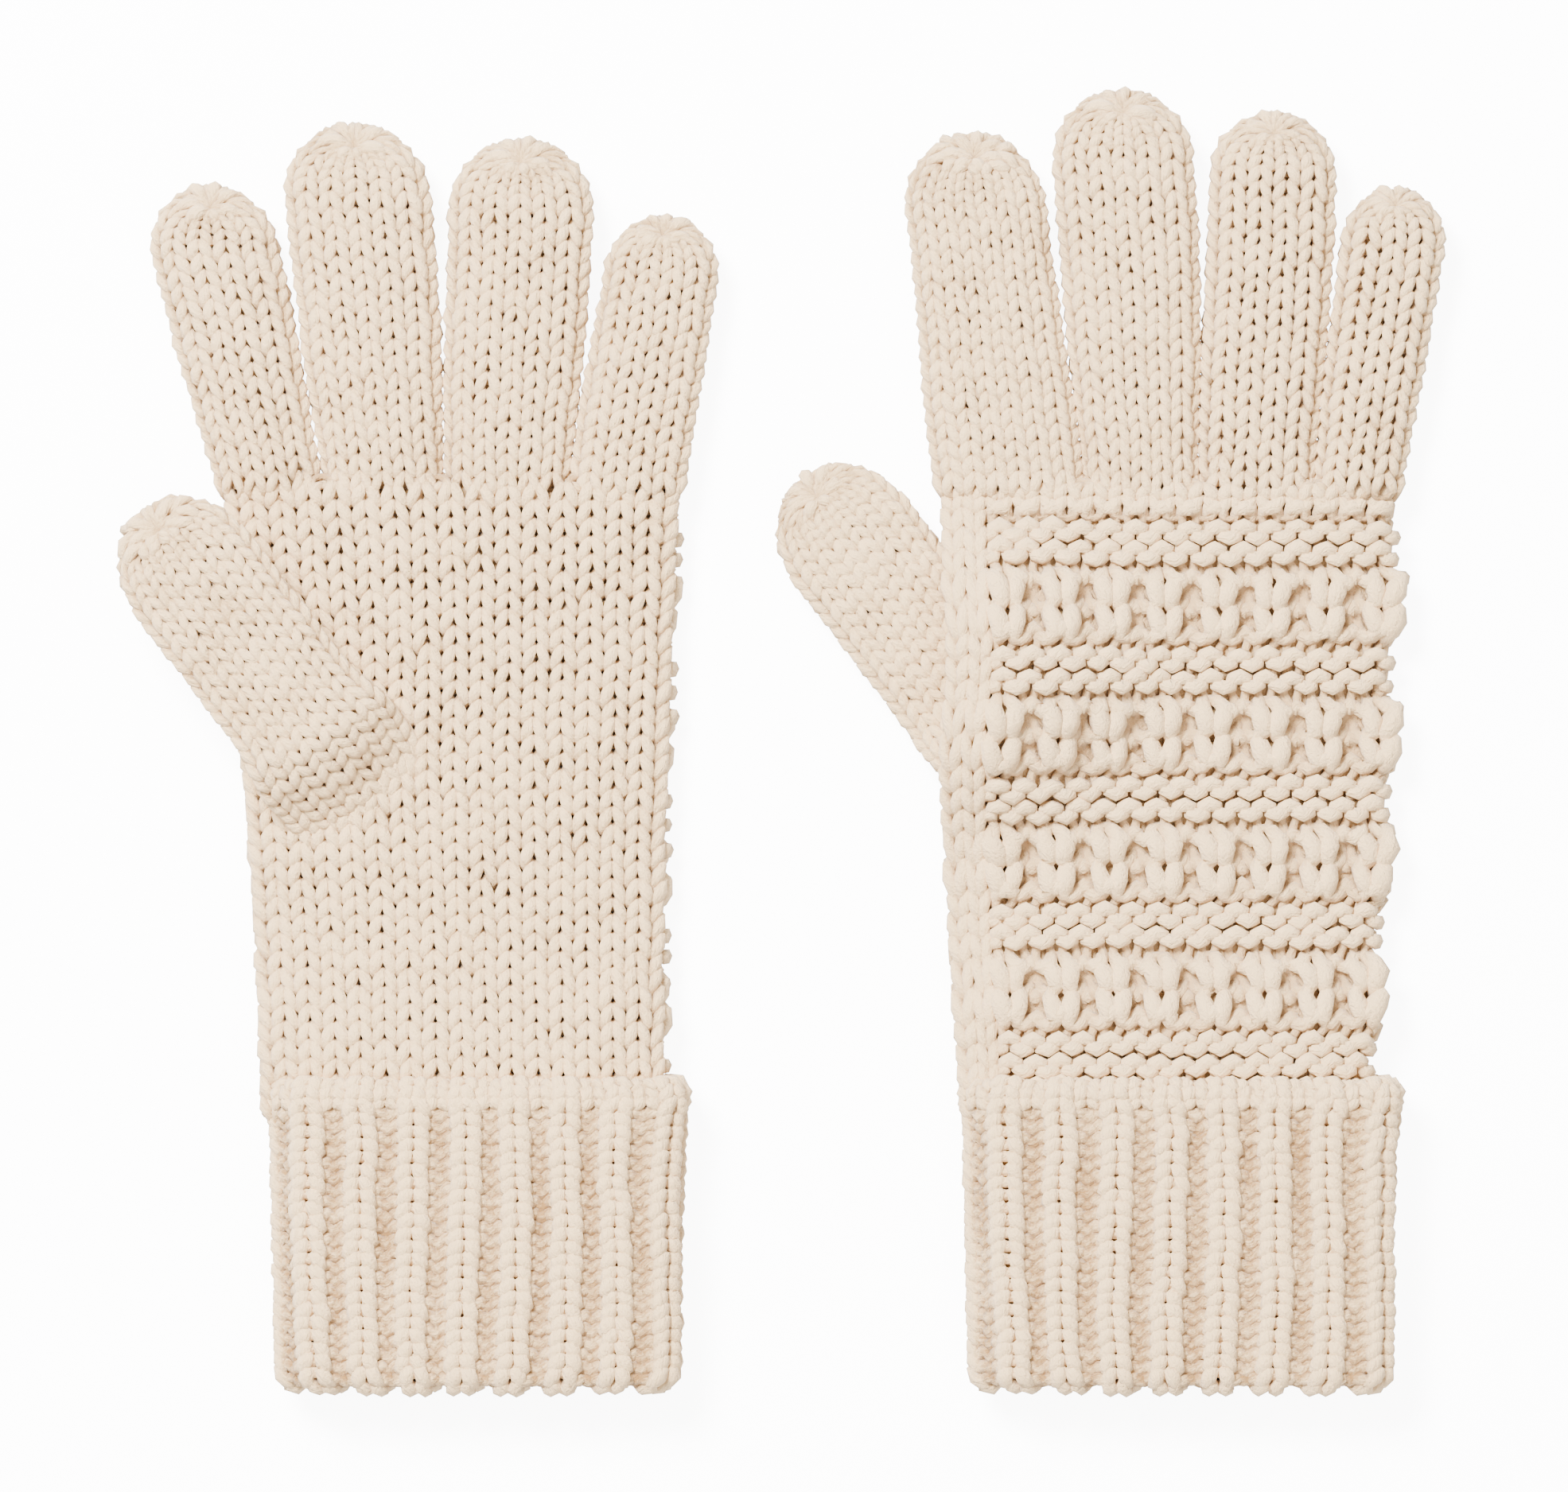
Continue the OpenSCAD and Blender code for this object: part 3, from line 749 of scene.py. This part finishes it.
def build_seam(glove, sheet, which, u0):
    """Linking yarn that snakes along a side of the hand at u0."""
    fabric = Fabric(f"{glove.side}_{which}_link")
    turns = int(sheet.length / PALM_ROW)
    t = np.arange(turns * 8 + 1) / 8
    u = u0 + 0.011 * np.sin(2 * math.pi * t)
    v = np.clip(t * PALM_ROW + 0.9 * np.sin(4 * math.pi * t), 0, sheet.length)
    point, normal = sheet.at(u, v)
    height = -0.4 + 0.7 * np.cos(2 * math.pi * t)
    centres = point + normal * height[:, None]
    radii = np.full(len(t), 1.05)
    fabric.tubes(centres[None], normal[None], height[None], radii[None], False, LINK_TOP)
    finish_hand(glove, fabric, "linking_yarn", which + "_seam")


def build_joins(glove):
    """Two closing stitches above and two below between neighbouring finger bases."""
    fabric = Fabric(glove.side + "_finger_join_stitches")
    y = glove.hand_top
    for pair in zip(FINGERS[:-1], FINGERS[1:]):
        first, second = [node_points(f"{glove.side}_{finger}_base") for finger in pair]
        x = (first[first[:, 1] < y + 1.0, 0].max() + second[second[:, 1] < y + 1.0, 0].min()) / 2
        low, high = first[:, 2].min(), first[:, 2].max()
        for z, way in ((high - 2.9, 1), (low + 2.9, -1)):
            for shift, width in JOIN_STITCHES:
                line = [[x - width, y + shift - 2.2, z - way * 0.9],
                        [x - width * 0.5, y + shift - 0.4, z + way * 0.5],
                        [x, y + shift, z - way * 0.5],
                        [x + width * 0.5, y + shift - 0.4, z + way * 0.5],
                        [x + width, y + shift - 2.2, z - way * 0.9]]
                strand(fabric, line, [0.8, 1.1, 0.9, 1.1, 0.8], [0, 0, way], 0.3)
    finish_piece(fabric, "linking_yarn", [glove.side + "_finger_joins"],
                 [glove.side + "_hand"])


def knit_tube(fabric, sheet, edges, wales, width):
    """Knits a finger or thumb; where its dome narrows, pairs of wales run together."""
    middle = (edges[:-1] + edges[1:]) / 2
    narrow = sheet.girth_at(middle) < NARROWEST * wales * width
    split = int(np.argmax(narrow)) if narrow.any() else len(middle)
    knit(fabric, sheet, edges[:split + 1], wales, FINGER_YARN, wale_width=width)
    if split < len(middle):
        knit(fabric, sheet, edges[split:], wales // 2, FINGER_YARN, wale_width=width)


def build_gather(name, sheet):
    """The drawn-in stitches that close a tip."""
    fabric = Fabric(name + "_gather_yarn")
    rng = fabric.random
    tufts, length, thick = 7, 5.2, 1.5
    q = np.linspace(0, 1, 11)
    u = (np.arange(tufts)[:, None] + 0.5 + rng.normal(0, 0.08, (tufts, 1))) / tufts
    u = np.broadcast_to(u, (tufts, len(q)))
    v = np.broadcast_to(sheet.length - length + (length + 1.0) * q, u.shape)
    height = -0.9 + 1.7 * np.sin(math.pi * np.minimum(q * 1.15, 1)) - 3.2 * q ** 4
    height = height + rng.normal(0, 0.25, (tufts, 1))
    point, normal = sheet.at(u, v)
    centres = point + normal * height[..., None]
    radii = thick * (1 - 0.35 * q) * (1 + rng.normal(0, 0.1, (tufts, 1)))
    fabric.tubes(centres, normal, height, radii, False, LINK_TOP)
    finish_piece(fabric, "gathered_yarn", [name + "_gather"], [name + "_end"])


def build_tube(glove, name, sheet, wales, width, cut_at, base_line, end_line):
    """A finger or thumb as its base, its end from cut_at on and its gathered tip. base_line and
    end_line are not used."""
    rows = int(round(sheet.length / FINGER_ROW))
    edges = np.linspace(0.0, sheet.length, rows + 1)
    cut = int(np.argmin(np.abs(edges - cut_at)))
    hand, base, end = glove.side + "_hand", name + "_base", name + "_end"
    for own, before, part, low, high, line in (
            (base, hand, edges[:cut + 1], 0.3, edges[cut], base_line),
            (end, base, edges[cut:], edges[cut], sheet.length - 1.0, end_line)):
        fabric = Fabric(own + "_knit")
        knit_tube(fabric, sheet, part, wales, width)
        fabric.backing(sheet, 0.0, 1.0, low, high, SKIN_TOP["finger"])
        finish_piece(fabric, "finger_knit", [own], [before, own], *line)
    build_gather(name, sheet)


def build_finger(glove, finger):
    name = f"{glove.side}_{finger}"
    sheet = finger_sheet(glove, finger, FINGER_YARN.proud)
    wales = 2 * int(round(np.median(sheet.girth[:20]) / FINGER_WALE / 2))
    width = sheet.girth[:30].max() / wales
    knuckle, middle = joint_place(name + "_knuckle_bend"), joint_place(name + "_middle_bend")
    build_tube(glove, name, sheet, wales, width, sheet.v_of_y(middle[1]),
               (knuckle + [0, -0.5, 0], knuckle + [0, 13, 0]), (middle, middle + [0, 12, 0]))


def build_thumb(glove):
    thumb = Thumb(glove)
    sheet = thumb_sheet(glove, thumb, FINGER_YARN.proud)
    width = np.median(sheet.girth[:20]) / THUMB_WALES
    build_tube(glove, glove.side + "_thumb", sheet, THUMB_WALES, width,
               thumb.bend_reach - THUMB_START,
               (thumb.swing + thumb.forward * 2, thumb.swing + thumb.forward * 26),
               (thumb.bend, thumb.bend + thumb.forward * 12))


def cuff_path(glove, top, inset, inner):
    """Points of the cuff's section: how far inside the outer layer, and y. It starts
    inside the cast-on edge, goes over it, down the outside and up inside the mouth."""
    low = glove.cuff_low[1]
    roll, fold = 1.2, inner / 2
    path = [(-2 * roll, top - 4.0), (-2 * roll, top - inset - 0.4)]
    for a in np.linspace(math.pi, 0, 7)[1:]:
        path.append((-roll + roll * math.cos(a), top - inset - 0.4 + roll * math.sin(a)))
    bottom = low + inset + fold + 0.7
    path.append((0.0, bottom))
    for a in np.linspace(0, math.pi, 7)[1:]:
        path.append((-fold + fold * math.cos(a), bottom - fold * math.sin(a)))
    path.append((-2 * fold, top - 3.0))
    path = np.array(path)
    reach = reach_along(path)
    places = np.arange(0, reach[-1], 0.7)
    return np.stack([np.interp(places, reach, path[:, 0]),
                     np.interp(places, reach, path[:, 1])], 1)


def cuff_sheet(glove):
    low, high = glove.cuff_low, glove.cuff_high
    inset = RIB_YARN.proud + RIB_LIFT
    middle = (low + high) / 2
    half_t = (high[2] - low[2]) / 2 - inset
    half_w = (high[0] - low[0]) / 2 - inset
    quarter = np.linspace(0, math.pi / 2, 60)
    rings = []
    for drop, y in cuff_path(glove, high[1], inset - RIB_LIFT, LAYER_DROP):
        share = (y - low[1]) / (high[1] - low[1])
        up = max(CUFF_CORNER - (y - low[1]), 0)
        wide = half_w - CUFF_FLARE / 2 + CUFF_FLARE * share
        wide += BAND_EASE * ramp(share, 0.8, 0.96) + CUFF_EASE[glove.side]
        wide -= 0.8 * (CUFF_CORNER - math.sqrt(max(CUFF_CORNER ** 2 - up ** 2, 0)))
        wide, thick = wide + drop, half_t + drop
        flat = max(wide - thick, 0.1)
        arc_x, arc_z = flat + thick * np.cos(quarter), thick * np.sin(quarter)
        line = np.linspace(flat, -flat, 120)[1:-1]
        x = np.concatenate([arc_x, line, -arc_x[::-1], -arc_x[1:], line[::-1], arc_x[::-1][:-1]])
        z = np.concatenate([arc_z, np.full(len(line), thick), arc_z[::-1], -arc_z[1:],
                            np.full(len(line), -thick), -arc_z[::-1][:-1]])
        x = x + middle[0] + CUFF_SHIFT[glove.side]
        rings.append(np.stack([x, np.full_like(x, y), middle[2] + z], 1))
    return Sheet(rings)


def rib_place(wale, row):
    """Place around the cuff, where knit wales are wider than the purl wales between them."""
    pair, rest = np.floor(wale / 2), wale % 2
    spot = np.where(rest < 1, KNIT_SHARE * rest, KNIT_SHARE + (1 - KNIT_SHARE) * (rest - 1))
    wave = RIB_WAVE * np.sin(0.2 * row + 0.45 * wale)
    return (pair + spot + RIB_PHASE + wave) / (RIB_WALES / 2)


def build_ribbing(glove, sheet, name, node, v0, v1, fade):
    """Ribbing between v0 and v1, whose first two rows are flatter by fade."""
    fabric = Fabric(f"{glove.side}_{name}")
    rows = max(2, int(round((v1 - v0) / RIB_ROW)))
    face = np.ones((rows, RIB_WALES))
    face[:, 1::2] = -1
    lift = RIB_LIFT * face
    lift[:2] *= fade
    head = np.full_like(face, RIB_YARN.head)
    head[:, 1::2] = PURL_HEAD
    knit(fabric, sheet, np.linspace(v0, v1, rows + 1), RIB_WALES, RIB_YARN, place=rib_place,
         face=face, lift=lift, head=head)
    fabric.backing(sheet, 0.0, 1.0, v0, v1, SKIN_TOP["rib"], 0.5)
    finish_piece(fabric, "ribbed_knit", [f"{glove.side}_{node}"], [glove.side + "_cuff"])


def build_band(glove, sheet, length):
    """The cast-on edge, whose wales stand out by turns."""
    fabric = Fabric(glove.side + "_cast_on_band")
    lift = np.full((BAND_ROWS, RIB_WALES), 0.75)
    lift[:, 1::2] = -0.1
    knit(fabric, sheet, np.linspace(1.0, length, BAND_ROWS + 1), RIB_WALES, BAND_YARN,
         lift=lift, place=lambda wale, row: (wale + BAND_PHASE) / RIB_WALES)
    fabric.backing(sheet, 0.0, 1.0, 0.5, length + 1.0, SKIN_TOP["band"], 0.6)
    finish_piece(fabric, "cast_on_edge", [glove.side + "_cuff_edge"], [glove.side + "_cuff"])


def build_cuff(glove):
    sheet = cuff_sheet(glove)
    ring_y = sheet.grid.mean(1)[:, 1]
    bottom = int(np.argmin(ring_y))
    band_top = int(np.argmax(ring_y[:bottom]))
    down = np.arange(band_top, bottom)
    band_v = float(np.interp(-(glove.cuff_high[1] - BAND), -ring_y[down], sheet.reach[down]))
    inside_v = float(np.interp(glove.cuff_low[1] + MOUTH, ring_y[bottom:], sheet.reach[bottom:]))

    build_ribbing(glove, sheet, "turnup_rib", "cuff_turnup", band_v - 1.0, inside_v, 0.7)
    build_ribbing(glove, sheet, "inner_rib", "cuff_inner", inside_v, sheet.length, 1.0)
    build_band(glove, sheet, band_v)


# ---- Materials ----

CREAM, SHADE_TAN = (0.89, 0.622, 0.333), (0.37, 0.195, 0.065)      # linear colours: the wool's own cream, and a tan painted as shade in the hollows
CREAM_LEVEL, FULL_SHADE_LEVEL = 0.85, -0.05   # levels from which the wool is all cream or all painted tan shade
FIBRE_SHIFT = 2.0      # how far the fibres move the level
MOTTLE_SHIFT = 0.5     # and how far the slow mottling does
MOTTLE_SCALE = 90
STRAND_SCALE = 1.5     # strands for each mm of yarn
FUZZ_SCALE = 1500
RELIEF_HEIGHT = 0.0014
SHEEN_TINT = (1.0, 0.95, 0.88, 1)


def socket_group(name, inputs, outputs):
    """An empty shader group with the named sockets."""
    tree = bpy.data.node_groups.new(name, "ShaderNodeTree")
    kinds = {"value": "NodeSocketFloat", "vector": "NodeSocketVector", "colour": "NodeSocketColor"}
    for way, sockets in (("INPUT", inputs), ("OUTPUT", outputs)):
        for label, kind in sockets:
            tree.interface.new_socket(label, in_out=way, socket_type=kinds[kind])
    return tree, tree.nodes.new("NodeGroupInput"), tree.nodes.new("NodeGroupOutput")


def link_inputs(tree, node, sockets):
    """Feeds a node's inputs, each with a socket or a plain value."""
    for label, value in sockets.items():
        if isinstance(value, (int, float, tuple)):
            node.inputs[label].default_value = value
        else:
            tree.links.new(value, node.inputs[label])


def math_node(tree, operation, a, b):
    node = tree.nodes.new("ShaderNodeMath")
    node.operation = operation
    link_inputs(tree, node, {0: a, 1: b})
    return node.outputs[0]


def noise_node(tree, place, scale, detail, roughness=0.5):
    node = tree.nodes.new("ShaderNodeTexNoise")
    link_inputs(tree, node, {"Vector": place, "Scale": scale, "Detail": detail,
                             "Roughness": roughness})
    return node.outputs[0]


def fibre_group():
    """Twisted fibres along the yarn and the felted fuzz over them."""
    tree, start, end = socket_group(
        "wool_fibres",
        [("Yarn", "vector"), ("Place", "vector"), ("Strand Scale", "value"),
         ("Fuzz Scale", "value")],
        [("Height", "value"), ("Tone", "value")])
    stretch = tree.nodes.new("ShaderNodeVectorMath")
    stretch.operation = "MULTIPLY"
    link_inputs(tree, stretch, {0: start.outputs["Yarn"], 1: (1.0, 1.0, 0.22)})
    strands = noise_node(tree, stretch.outputs[0], start.outputs["Strand Scale"], 3, 0.6)
    fuzz = noise_node(tree, start.outputs["Place"], start.outputs["Fuzz Scale"], 4, 0.7)
    both = math_node(tree, "ADD", math_node(tree, "MULTIPLY", strands, 0.6),
                     math_node(tree, "MULTIPLY", fuzz, 0.4))
    link_inputs(tree, end, {"Height": both, "Tone": both})
    return tree


def wool_shade_group():
    """Cream at the top of the yarn and tan painted as shade in the hollows, with slow mottling."""
    tree, start, end = socket_group(
        "wool_shaded_colour",
        [("Level", "value"), ("Tone", "value"), ("Place", "vector"), ("Top", "colour"),
         ("Painted Shade", "colour"), ("Depth", "value")],
        [("Colour", "colour")])

    def swing(socket, amount):
        """A noise of 0 to 1 turned into a shift of the level, up and down."""
        return math_node(tree, "MULTIPLY", math_node(tree, "SUBTRACT", socket, 0.5), amount)

    mottle = noise_node(tree, start.outputs["Place"], MOTTLE_SCALE, 2)
    uneven = math_node(tree, "ADD", swing(start.outputs["Tone"], FIBRE_SHIFT),
                       swing(mottle, MOTTLE_SHIFT))
    level = math_node(tree, "ADD", start.outputs["Level"], uneven)
    # Painted shade: the lower the yarn lies in the fabric, the more of the tan it gets
    shade_mask = tree.nodes.new("ShaderNodeMapRange")
    shade_mask.interpolation_type = "SMOOTHSTEP"
    link_inputs(tree, shade_mask, {"Value": level, "From Min": CREAM_LEVEL, "From Max": FULL_SHADE_LEVEL})
    amount = math_node(tree, "MULTIPLY", shade_mask.outputs[0], start.outputs["Depth"])
    blend = tree.nodes.new("ShaderNodeMix")
    blend.data_type = "RGBA"
    top, shade_socket = [s for s in blend.inputs if s.type == "RGBA"]
    tree.links.new(amount, blend.inputs[0])
    tree.links.new(start.outputs["Top"], top)
    tree.links.new(start.outputs["Painted Shade"], shade_socket)
    colour = [s for s in blend.outputs if s.type == "RGBA"][0]
    tree.links.new(colour, end.inputs["Colour"])
    return tree


def new_material(name):
    material = bpy.data.materials.new(name)
    material.use_nodes = True
    tree = material.node_tree
    return material, tree, tree.nodes["Principled BSDF"]


def wool(name, depth):
    """Soft felted wool; depth is how much of the painted tan shade its hollows show."""
    material, tree, shader = new_material(name)
    yarn, level = tree.nodes.new("ShaderNodeAttribute"), tree.nodes.new("ShaderNodeAttribute")
    yarn.attribute_name, level.attribute_name = "yarn", "level"
    place = tree.nodes.new("ShaderNodeTexCoord").outputs["Object"]
    fibres, colour = tree.nodes.new("ShaderNodeGroup"), tree.nodes.new("ShaderNodeGroup")
    fibres.node_tree, colour.node_tree = GROUPS["fibres"], GROUPS["colour"]
    link_inputs(tree, fibres, {"Yarn": yarn.outputs["Vector"], "Place": place,
                               "Strand Scale": STRAND_SCALE, "Fuzz Scale": FUZZ_SCALE})
    link_inputs(tree, colour, {"Level": level.outputs["Fac"], "Tone": fibres.outputs["Tone"],
                               "Place": place, "Top": (*CREAM, 1), "Painted Shade": (*SHADE_TAN, 1),
                               "Depth": depth})
    rough, relief = tree.nodes.new("ShaderNodeMapRange"), tree.nodes.new("ShaderNodeBump")
    link_inputs(tree, rough, {"Value": fibres.outputs["Tone"], "To Min": 0.78, "To Max": 1.0})
    link_inputs(tree, relief, {"Height": fibres.outputs["Height"], "Strength": 0.9,
                               "Distance": RELIEF_HEIGHT})
    link_inputs(tree, shader, {"Base Color": colour.outputs["Colour"],
                               "Roughness": rough.outputs[0],
                               "Normal": relief.outputs["Normal"], "Sheen Weight": 0.35,
                               "Sheen Roughness": 0.45, "Sheen Tint": SHEEN_TINT,
                               "Specular IOR Level": 0.2})
    return material


GROUPS = {"fibres": fibre_group(), "colour": wool_shade_group()}
MATERIALS = {
    "palm_knit": wool("palm_wool", 0.8),
    "textured_knit": wool("textured_wool", 0.5),
    "ribbed_knit": wool("ribbed_wool", 1.0),
    "cast_on_edge": wool("cast_on_wool", 0.7),
    "finger_knit": wool("finger_wool", 0.75),
    "gathered_yarn": wool("gathered_wool", 0.8),
    "linking_yarn": wool("linking_wool", 0.8),
}


# ---- Floor, light and camera ----

FLOOR_HALF = 3.0
FLOOR_HEIGHT = -0.0009     # under the lowest yarn
FLOOR_GLOW = 9.0           # brightness of the floor to the camera only
CAMERA_HEIGHT = 2.012
VIEW_HEIGHT, VIEW_WIDTH = 2.0, 0.3285     # distance at which the view is this wide
SENSOR = 36


def build_floor():
    corners = [(x * FLOOR_HALF, y * FLOOR_HALF, FLOOR_HEIGHT)
               for x, y in ((-1, -1), (1, -1), (1, 1), (-1, 1))]
    mesh = bpy.data.meshes.new("floor")
    mesh.from_pydata(corners, [], [(0, 1, 2, 3)])
    material, tree, shader = new_material("pale_floor")
    seen = tree.nodes.new("ShaderNodeLightPath").outputs["Is Camera Ray"]
    glow = math_node(tree, "MULTIPLY", seen, FLOOR_GLOW)
    link_inputs(tree, shader, {"Base Color": (0.95, 0.95, 0.95, 1), "Roughness": 0.9,
                               "Emission Color": (1, 1, 1, 1), "Emission Strength": glow})
    mesh.materials.append(material)
    add_object("floor", mesh)


def build_light(name, place, size, power):
    """A square light that points at the middle of the pair."""
    lamp = bpy.data.lights.new(name, "AREA")
    lamp.size = size
    lamp.energy = power
    light = add_object(name, lamp)
    light.location = place
    light.rotation_euler = (-Vector(place)).to_track_quat("-Z", "Y").to_euler()


def build_world():
    world = bpy.data.worlds.new("studio")
    world.use_nodes = True
    background = world.node_tree.nodes["Background"]
    background.inputs["Color"].default_value = (1, 1, 1, 1)
    background.inputs["Strength"].default_value = 0.95
    bpy.context.scene.world = world


def build_camera():
    data = bpy.data.cameras.new("camera")
    data.sensor_width = SENSOR
    data.lens = SENSOR * VIEW_HEIGHT / VIEW_WIDTH
    data.clip_end = 20
    camera = add_object("camera", data)
    camera.location = (0.0008, -0.0006, CAMERA_HEIGHT)
    bpy.context.scene.camera = camera


# ---- The pair ----

def build_glove(side):
    glove = Glove(side)
    sheet = glove.hand_sheet(PALM_YARN.proud, side_bulge if side == "right" else None)
    build_palm(glove, sheet)
    build_back(glove, sheet)
    build_seam(glove, sheet, "little_side", 0.0)
    build_seam(glove, sheet, "thumb_side", 0.5)
    build_joins(glove)
    build_cuff(glove)
    build_thumb(glove)
    for finger in FINGERS:
        build_finger(glove, finger)


for side in SIDES:
    build_glove(side)
build_floor()
build_world()
build_light("key", (-0.6, 0.8, 1.5), 0.6, 150)
build_light("fill", (0.7, -0.5, 1.5), 1.5, 20)
build_camera()
